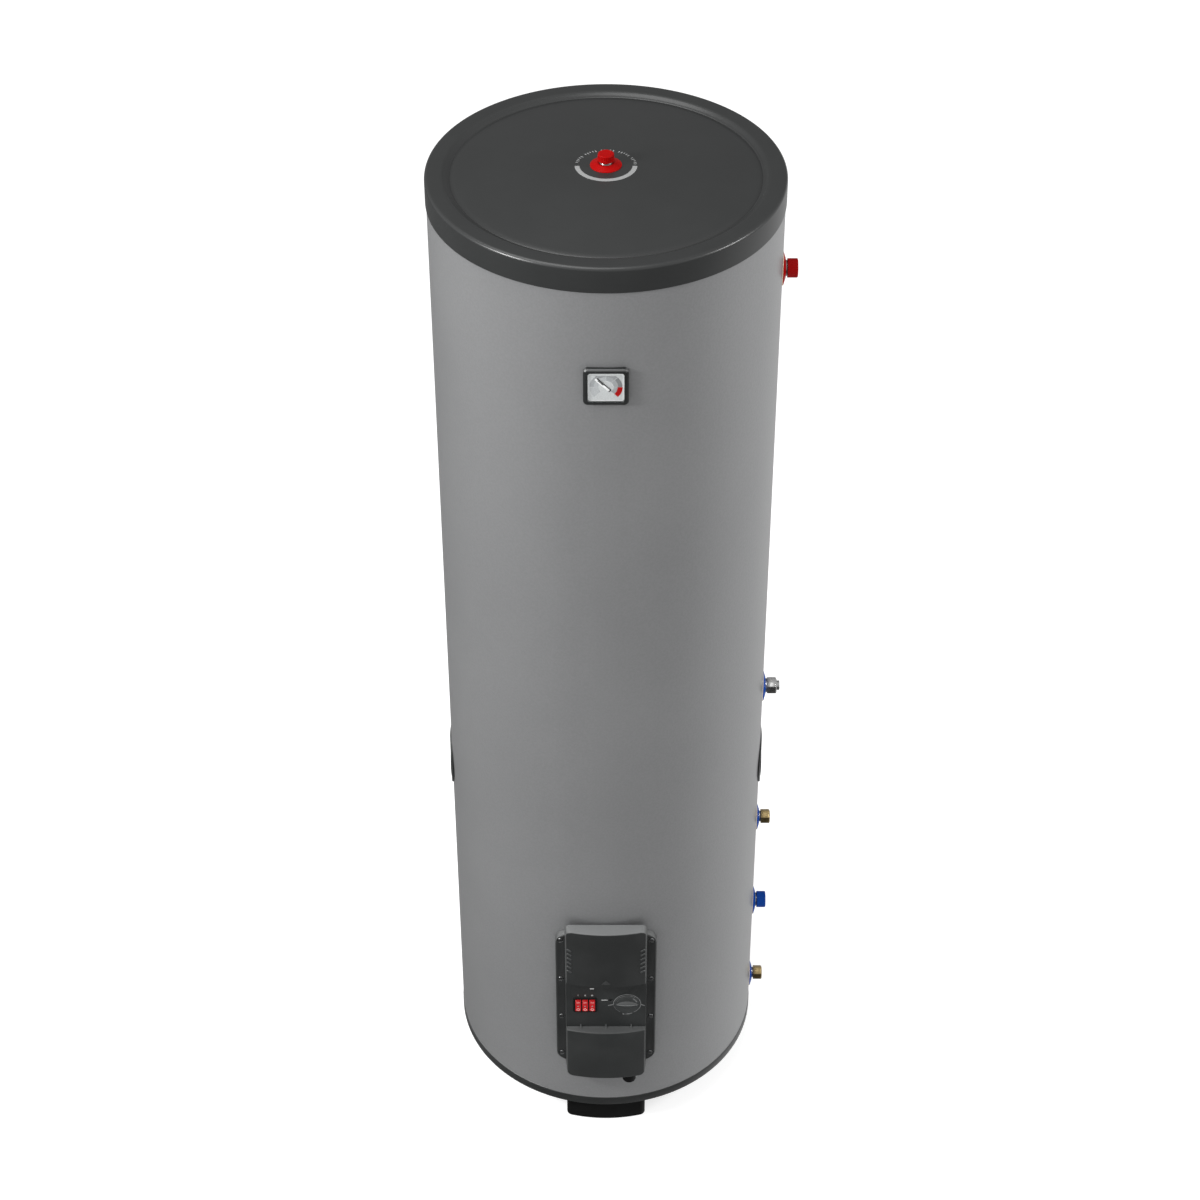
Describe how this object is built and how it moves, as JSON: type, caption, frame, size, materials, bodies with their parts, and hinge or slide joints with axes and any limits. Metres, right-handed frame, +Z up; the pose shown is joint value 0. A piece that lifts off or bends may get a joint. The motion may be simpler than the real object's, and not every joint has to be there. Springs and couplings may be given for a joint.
{
  "type": "tank water heater",
  "caption": "Floor-standing cylindrical hot-water storage tank with a domed lid, feet, side pipe connections, a temperature gauge, recessed grips and an electric control box",
  "frame": {"origin": "the tank's axis at floor level", "axes": "+Z up along the tank's axis, the control box and gauge face -Y, the pipe connections point along +X"},
  "size_m": [0.6034, 0.6027, 1.996],
  "materials": {
    "jacket_paint": "silver-grey metallic paint, satin",
    "black_plastic": "black moulded plastic, satin",
    "cover_plastic": "dark moulded plastic, satin",
    "foam": "closed-cell foam",
    "enamelled_steel": "enamelled steel",
    "stainless": "bright steel",
    "zinc_steel": "zinc-plated steel",
    "seal_rubber": "matt",
    "red_plastic": "red moulded plastic",
    "blue_plastic": "blue moulded plastic",
    "brass": "machined",
    "switch_red": "red translucent plastic, glossy",
    "magnesium": "dull",
    "terminal_plastic": "ivory plastic",
    "dial_face": "printed sheet, satin",
    "needle_white": "satin",
    "clear_lens": "clear"
  },
  "bodies": {
    "heater": {"jacket": "jacket_paint", "top_lid": "black_plastic", "base_pan": "black_plastic", "foot_front": "black_plastic", "foot_right": "black_plastic", "foot_left": "black_plastic", "levelling_feet": "zinc_steel", "insulation": "foam", "tank_shell": "enamelled_steel", "tank_top_head": "enamelled_steel", "tank_bottom_head": "enamelled_steel", "heating_coil": "enamelled_steel", "hot_pickup_pipe": "stainless", "flange_ring": "enamelled_steel", "flange_gasket": "seal_rubber", "element_flange": "zinc_steel", "flange_bolts": "zinc_steel", "heating_elements": "stainless", "anode_rod": "magnesium", "sensor_well": "stainless", "control_housing": "cover_plastic", "mounting_frame": "black_plastic", "frame_screws": "zinc_steel", "switch_frame": "black_plastic", "thermostat": "zinc_steel", "safety_cutout": "terminal_plastic", "terminal_block": "terminal_plastic", "terminal_screws": "zinc_steel", "cable_gland": "black_plastic", "gauge_case": "black_plastic", "gauge_dial": "dial_face", "gauge_lens": "clear_lens", "handle_right": "black_plastic", "handle_left": "black_plastic", "safety_port_stub": "stainless", "safety_port_rosette": "red_plastic", "safety_port_cap": "red_plastic", "hot_outlet_stub": "stainless", "hot_outlet_rosette": "red_plastic", "hot_outlet_cap": "red_plastic", "recirculation_stub": "stainless", "recirculation_rosette": "blue_plastic", "recirculation_plug": "stainless", "coil_inlet_stub": "stainless", "coil_inlet_rosette": "blue_plastic", "coil_inlet_cap": "brass", "cold_inlet_stub": "stainless", "cold_inlet_rosette": "blue_plastic", "cold_inlet_cap": "blue_plastic", "coil_outlet_stub": "stainless", "coil_outlet_rosette": "blue_plastic", "coil_outlet_cap": "brass"},
    "cover": {"upper_cover": "cover_plastic"},
    "thermostat_knob": {"knob": "black_plastic", "thermostat_shaft": "brass"},
    "switch_1": {"rocker_1": "switch_red"},
    "switch_2": {"rocker_2": "switch_red"},
    "switch_3": {"rocker_3": "switch_red"},
    "reset": {"reset_button": "black_plastic"},
    "needle": {"gauge_needle": "needle_white"}
  },
  "joints": [
    {"name": "cover_slide", "type": "slide", "parent": "heater", "child": "cover", "axis": [0, 0, 1], "range_m": [0, 0.12]},
    {"name": "thermostat_turn", "type": "hinge", "parent": "heater", "child": "thermostat_knob", "pos_m": [0.0393, -0.297, 0.36685], "axis": [0, 1, 0], "range_deg": [-135, 135]},
    {"name": "reset_press", "type": "slide", "parent": "heater", "child": "reset", "axis": [0, 1, 0], "range_m": [0, 0.0025], "stiffness_N_per_m": 300, "springref_m": -0.002},
    {"name": "needle_turn", "type": "hinge", "parent": "heater", "child": "needle", "pos_m": [0, -0.29, 1.752], "axis": [0, 1, 0], "range_deg": [-80, 175]},
    {"name": "switch_1_tilt", "type": "hinge", "parent": "heater", "child": "switch_1", "pos_m": [-0.0518, -0.294, 0.36465], "axis": [-1, 0, 0], "range_deg": [0, 16]},
    {"name": "switch_2_tilt", "type": "hinge", "parent": "heater", "child": "switch_2", "pos_m": [-0.0387, -0.294, 0.36465], "axis": [-1, 0, 0], "range_deg": [0, 16]},
    {"name": "switch_3_tilt", "type": "hinge", "parent": "heater", "child": "switch_3", "pos_m": [-0.0256, -0.294, 0.36465], "axis": [-1, 0, 0], "range_deg": [0, 16]}
  ]
}
